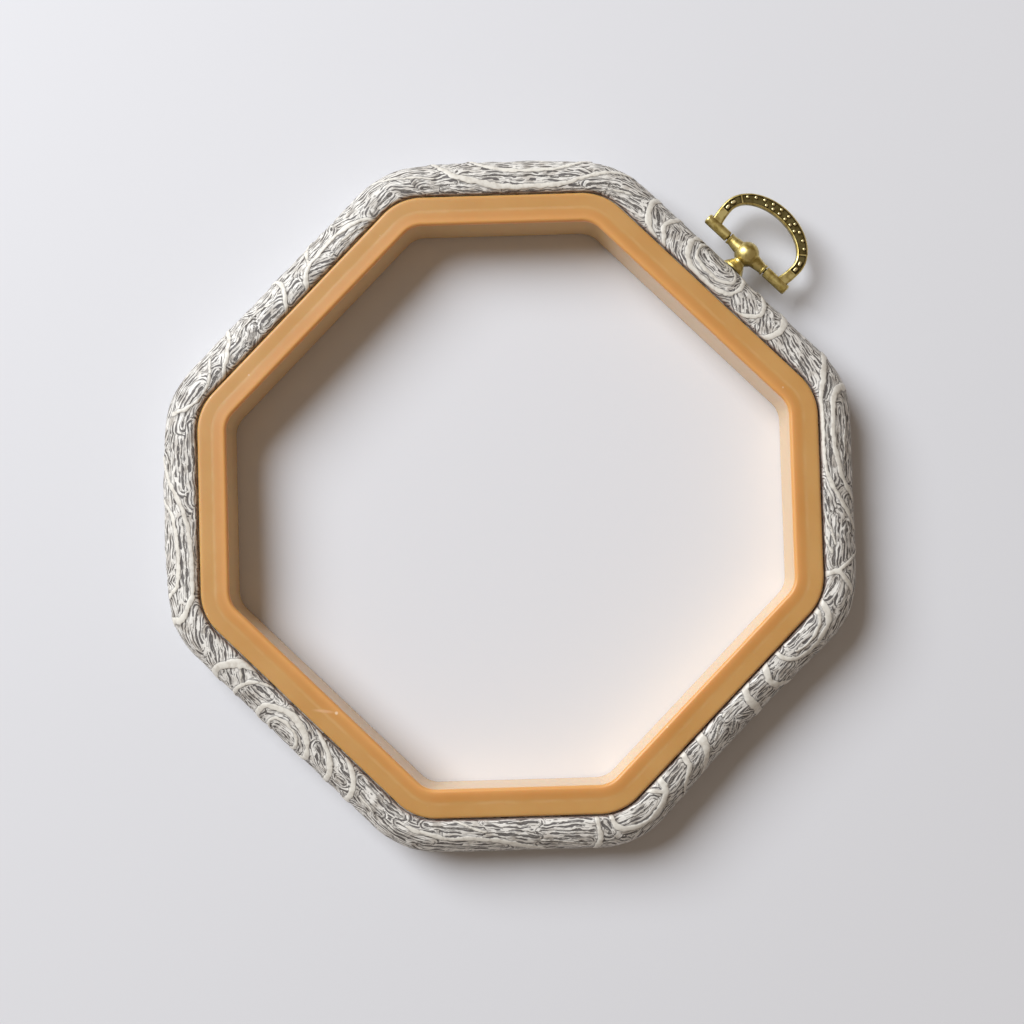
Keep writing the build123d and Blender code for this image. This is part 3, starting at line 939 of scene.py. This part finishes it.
# Painted highlight: a pale, patchy line along the crease
past_crease = add_node(tree, "Math", zone, crease, operation="SUBTRACT")
from_crease = add_node(tree, "Math", past_crease, operation="ABSOLUTE")
by_crease = add_node(tree, "MapRange", from_crease, *crease_highlight_fade, **soft_step)
patch_noise = add_node(tree, "TexNoise", place, 1 / patch_size, 3.0)
patchy = add_node(tree, "MapRange", patch_noise, *patch_range, *crease_highlight_tint, **soft_step)
crease_highlight = add_node(tree, "Math", by_crease, patchy, operation="MULTIPLY")
print("bands of the tan face, mm: crease at", crease, "rim at", rim)

# %% Tan plastic: drift, specks and the gate's scar
drift_size = 16.0
speck_cell = 5.0
speck_fade = (0.055, 0.03)
gate_place = (1.8, -64.9, 14.6)
gate_turn = math.radians(37)
gate_size = (3.2, 0.5, 1.0)
nib_place = (4.2, -63.2, 14.7)
nib_fade = (0.5, 0.2)
mark_strength = 0.7

drift_noise = add_node(tree, "TexNoise", place, 1 / drift_size, 3.0)
drift = add_node(tree, "MapRange", drift_noise, *noise_range, **soft_step)
speck_cells = add_node(tree, "TexVoronoi", place, 1 / speck_cell)
specks = add_node(tree, "MapRange", speck_cells, *speck_fade, **soft_step)
gate = add_node(tree, "Mapping", place, gate_place, (0, 0, gate_turn), gate_size, vector_type="TEXTURE")
from_gate = add_node(tree, "VectorMath", gate, operation="LENGTH")
scar = add_node(tree, "MapRange", from_gate, 1.0, 0.3, 0.0, mark_strength, **soft_step)
from_nib = add_node(tree, "VectorMath", place, nib_place, operation="DISTANCE")
nib = add_node(tree, "MapRange", from_nib, *nib_fade, 0.0, mark_strength, **soft_step)
print("scar of the gate at, mm:", gate_place[:2], "and its nib at", nib_place[:2])

# %% Tan plastic: colour, gloss and bump
# The real pits are finer than the camera can show, so these are coarser
grime_size = 0.35
pit_depth = 0.03
wall_polish = 0.25
speck_strength = 0.6
scar_rise = 3.0
satin_range = (0.38, 0.46)

speck_share = add_node(tree, "Math", specks, speck_strength, operation="MULTIPLY")
paint = add_node(tree, "Mix", drift, "CC9855", "D2A160", **colours)
for share, tint in (
    # painted shade on the band inside the crease
    (inner_band_shade, "D88E42"),
    # painted highlight towards the rim
    (rim_highlight, "EBAE68"),
    # painted glow: the window wall is paler, for the light it catches
    (wall, "E3BE8A"),
    # painted highlight along the crease
    (crease_highlight, "EDC795"),
    (scar, "E8B98A"),
    (nib, "FBE6C6"),
    (speck_share, "E9D3B4"),
):
    paint = add_node(tree, "Mix", share, paint, tint, **colours)

grime = add_node(tree, "TexNoise", place, 1 / grime_size, 3.0)
scar_relief = add_node(tree, "Math", scar, scar_rise, operation="MULTIPLY")
pitted = add_node(tree, "Math", scar_relief, grime, operation="ADD")
off_wall = add_node(tree, "Math", 1.0, wall, operation="SUBTRACT")
uneven = add_node(tree, "Math", pitted, off_wall, operation="MULTIPLY")
bump = add_node(tree, "Bump", inputs={"Height": uneven, "Strength": 0.25, "Distance": pit_depth * MM})
satin = add_node(tree, "MapRange", grime, *noise_range, *satin_range, **soft_step)
polish = add_node(tree, "MapRange", wall, 0.0, 1.0, 1.0, wall_polish, **soft_step)
gloss = add_node(tree, "Math", satin, polish, operation="MULTIPLY")
finish = {"Base Color": paint, "Roughness": gloss, "Normal": bump, "IOR": 1.54}
# A little light goes into the plastic, and its red comes out furthest away
finish |= {"Subsurface Weight": 0.4, "Subsurface Radius": (1.0, 0.55, 0.25), "Subsurface Scale": 3.0 * MM}
shader = add_node(tree, "BsdfPrincipled", inputs=finish)
add_node(tree, "OutputMaterial", shader)
print(tan_plastic.name, "has", len(tree.nodes), "nodes")

# %% Rigid ring in place
rigid_mesh.shade_smooth()
rigid_mesh.materials.append(tan_plastic)
rigid_ring = bpy.data.objects.new("inner_ring_moulded", rigid_mesh)
bpy.context.scene.collection.objects.link(rigid_ring)
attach(rigid_ring, "inner_frame")
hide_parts("inner_ring")
print(rigid_ring.name, "has", 2 * len(rigid_mesh.polygons), "triangles")

# %% [markdown]
# ## Hanger: antiqued brass
#
# The cup washer, the ball post and the loop are small brass castings, darkened in a bath, rubbed bright on
# everything that a cloth reaches, and lacquered. Their shapes are already in the part, so only the finish
# is missing. The dark skin could be painted on by hand, but how deep a place sits decides how much of it is
# left: the ambient occlusion node measures just that, between the beads and where the ball meets its
# collars. Faces that look sideways or down get painted shade in the same dark colour. The floor of the
# loop's channel is too wide for that node, so it is found by its height, and so are the tops of the beads,
# which get a painted highlight.

# %% Skin and painted highlight in the loop's channel
# Heights in mm from the channel's floor and from the tops of the beads, between which each one fades
over_floor, under_floor = (0.16, 0.06), (-0.15, -0.05)
# The tops of the beads get a painted highlight between these heights
over_tops, under_tops = (0.05, 0.02), (-0.11, -0.07)
flat_range = (0.8, 0.95)
floor_share = 0.84


def flat_at(tree, level, flat, height, over, under):
    """1 on flat faces at a height, and softly 0 over it, under it and on slopes."""
    not_over = add_node(tree, "MapRange", level, *(height + step for step in over), **soft_step)
    not_under = add_node(tree, "MapRange", level, *(height + step for step in under), **soft_step)
    at_height = add_node(tree, "Math", not_over, not_under, operation="MULTIPLY")
    return add_node(tree, "Math", at_height, flat, operation="MULTIPLY")


def add_channel(tree, place, upward, patina_and_shade, rubbed, floor, bead_top):
    """Skin and colour of the loop, once the floor of its channel and the tops of its beads, with their
    painted highlight, are in.
    """
    level = add_node(tree, "SeparateXYZ", place).outputs["Z"]
    flat = add_node(tree, "MapRange", upward, *flat_range, **soft_step)
    on_floor = flat_at(tree, level, flat, floor, over_floor, under_floor)
    floor_skin = add_node(tree, "Math", on_floor, floor_share, operation="MULTIPLY")
    all_patina_and_shade = add_node(tree, "Math", patina_and_shade, floor_skin, operation="MAXIMUM")
    # Painted highlight on the tops of the beads: near white, and free of the skin
    bead_highlight = flat_at(tree, level, flat, bead_top, over_tops, under_tops)
    off_bead_highlight = add_node(tree, "MapRange", bead_highlight, 0.0, 1.0, 1.0, 0.0, **soft_step)
    with_bead_highlight = add_node(tree, "Mix", bead_highlight, rubbed, "FFF0B8", **colours)
    return add_node(tree, "Math", all_patina_and_shade, off_bead_highlight, operation="MULTIPLY"), with_bead_highlight


loop_middle = hoop_height / 2
channel_floor = loop_middle + 0.65
bead_tops = loop_middle + 1.0
print("floor of the channel and tops of the beads, mm:", round(channel_floor, 2), round(bead_tops, 2))

# %% Antiqued brass
cloth_reach = 0.8
deep_range = (0.93, 0.72)
# Painted shade on faces that look sideways or down: where it starts and how strong it is
side_shade_range = (0.6, 0.05)
side_shade_share = 0.6
mottle_size = 0.7
mottle_reach = 0.16
stain_size = 1.6
stain_range = (0.42, 0.66)
cast_depth = 0.05
cast_gloss = (0.4, 0.6)


def antiqued_brass(name, channel_levels=None):
    """Lacquered brass with a dark skin where a cloth doesn't reach and in a channel if it has one, and
    painted shade on faces that look sideways or down.
    """
    brass, tree = new_material(name)
    place = millimetre_place(tree)
    normal = add_node(tree, "TexCoord").outputs["Normal"]
    upward = add_node(tree, "SeparateXYZ", normal).outputs["Z"]
    reach = {"Distance": cloth_reach * MM}
    depth = add_node(tree, "AmbientOcclusion", inputs=reach, samples=16, only_local=True).outputs["AO"]
    mottle = add_node(tree, "TexNoise", place, 1 / mottle_size, 4.0)
    uneven = add_node(tree, "Math", mottle, mottle_reach, -mottle_reach / 2, operation="MULTIPLY_ADD")
    depth_uneven = add_node(tree, "Math", depth, uneven, operation="ADD")
    deep_skin = add_node(tree, "MapRange", depth_uneven, *deep_range, **soft_step)
    # Painted shade on faces that look sideways or down
    upward_uneven = add_node(tree, "Math", upward, uneven, operation="ADD")
    side_shade = add_node(tree, "MapRange", upward_uneven, *side_shade_range, 0.0, side_shade_share, **soft_step)
    patina_and_shade = add_node(tree, "Math", deep_skin, side_shade, operation="MAXIMUM")
    stain_noise = add_node(tree, "TexNoise", place, 1 / stain_size, 3.0)
    stains = add_node(tree, "MapRange", stain_noise, *stain_range, **soft_step)
    rubbed = add_node(tree, "Mix", stains, "F2DF92", "C0A95A", **colours)
    if channel_levels:
        patina_and_shade, rubbed = add_channel(tree, place, upward, patina_and_shade, rubbed, *channel_levels)
    # The dark colour is patina in the hollows, and painted shade on faces that look sideways or down
    paint = add_node(tree, "Mix", patina_and_shade, rubbed, "382A0C", **colours)
    bump = add_node(tree, "Bump", inputs={"Height": mottle, "Strength": 0.3, "Distance": cast_depth * MM})
    gloss = add_node(tree, "MapRange", patina_and_shade, 0.0, 1.0, *cast_gloss, **soft_step)
    finish = {"Base Color": paint, "Roughness": gloss, "Normal": bump, "Metallic": 1.0}
    finish |= {"Coat Weight": 0.5, "Coat Roughness": 0.28}
    add_node(tree, "OutputMaterial", add_node(tree, "BsdfPrincipled", inputs=finish))
    print(name, "has", len(tree.nodes), "nodes")
    return brass


plain_brass = antiqued_brass("antiqued lacquered brass")
beaded_brass = antiqued_brass("antiqued beaded brass", (channel_floor, bead_tops))

# %% [markdown]
# ## Screw, washer and pin: plated steel, and a pin painted dark
#
# The screw and the washer under its head are stock hardware with a thin bright zinc plate. Hardly any of
# it shows, but the screw's head can be seen once the rings are apart. One flat grey would do for so little,
# and would look like paint: plated bar keeps faint marks, so the gloss is a little uneven. The real marks
# are too fine to show, so these are coarser. The pivot pin is steel too, but it is coloured near black as
# painted shade, so that the slits beside the barrels look black.

# %% Zinc-plated steel
spangle_size = 0.5
spangle_depth = 0.02

zinc, tree = new_material("zinc-plated steel")
spangle = add_node(tree, "TexNoise", millimetre_place(tree), 1 / spangle_size, 4.0)
bump = add_node(tree, "Bump", inputs={"Height": spangle, "Strength": 0.2, "Distance": spangle_depth * MM})
paint = add_node(tree, "Mix", spangle, "D2D3D2", "B9B8B2", **colours)
gloss = add_node(tree, "MapRange", spangle, *noise_range, 0.24, 0.42, **soft_step)
finish = {"Base Color": paint, "Roughness": gloss, "Normal": bump, "Metallic": 1.0}
add_node(tree, "OutputMaterial", add_node(tree, "BsdfPrincipled", inputs=finish))
print(zinc.name, "has", len(tree.nodes), "nodes")

# %% Pin painted dark as the shade in its slits
slit_shade_pin, tree = new_material("steel painted dark as slit shade")
pin_noise = add_node(tree, "TexNoise", millimetre_place(tree), 1 / spangle_size, 4.0)
# Painted shade: the pin is near black so that the slits beside the barrels look dark
paint = add_node(tree, "Mix", pin_noise, "2B251B", "4A3F2C", **colours)
gloss = add_node(tree, "MapRange", pin_noise, *noise_range, 0.45, 0.65, **soft_step)
finish = {"Base Color": paint, "Roughness": gloss, "Metallic": 1.0}
add_node(tree, "OutputMaterial", add_node(tree, "BsdfPrincipled", inputs=finish))
print(slit_shade_pin.name, "has", len(tree.nodes), "nodes")

# %% Hanger and its hardware in place
for material, nodes in (
    (plain_brass, ("cup_washer", "hanger_post")),
    (beaded_brass, ("hanging_loop",)),
    (zinc, ("hanger_screw", "backing_washer")),
    (slit_shade_pin, ("pivot_pin",)),
):
    for node in nodes:
        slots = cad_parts[node].data.materials
        slots.clear()
        slots.append(material)
print("hanger finished:", plain_brass.name, beaded_brass.name, zinc.name)
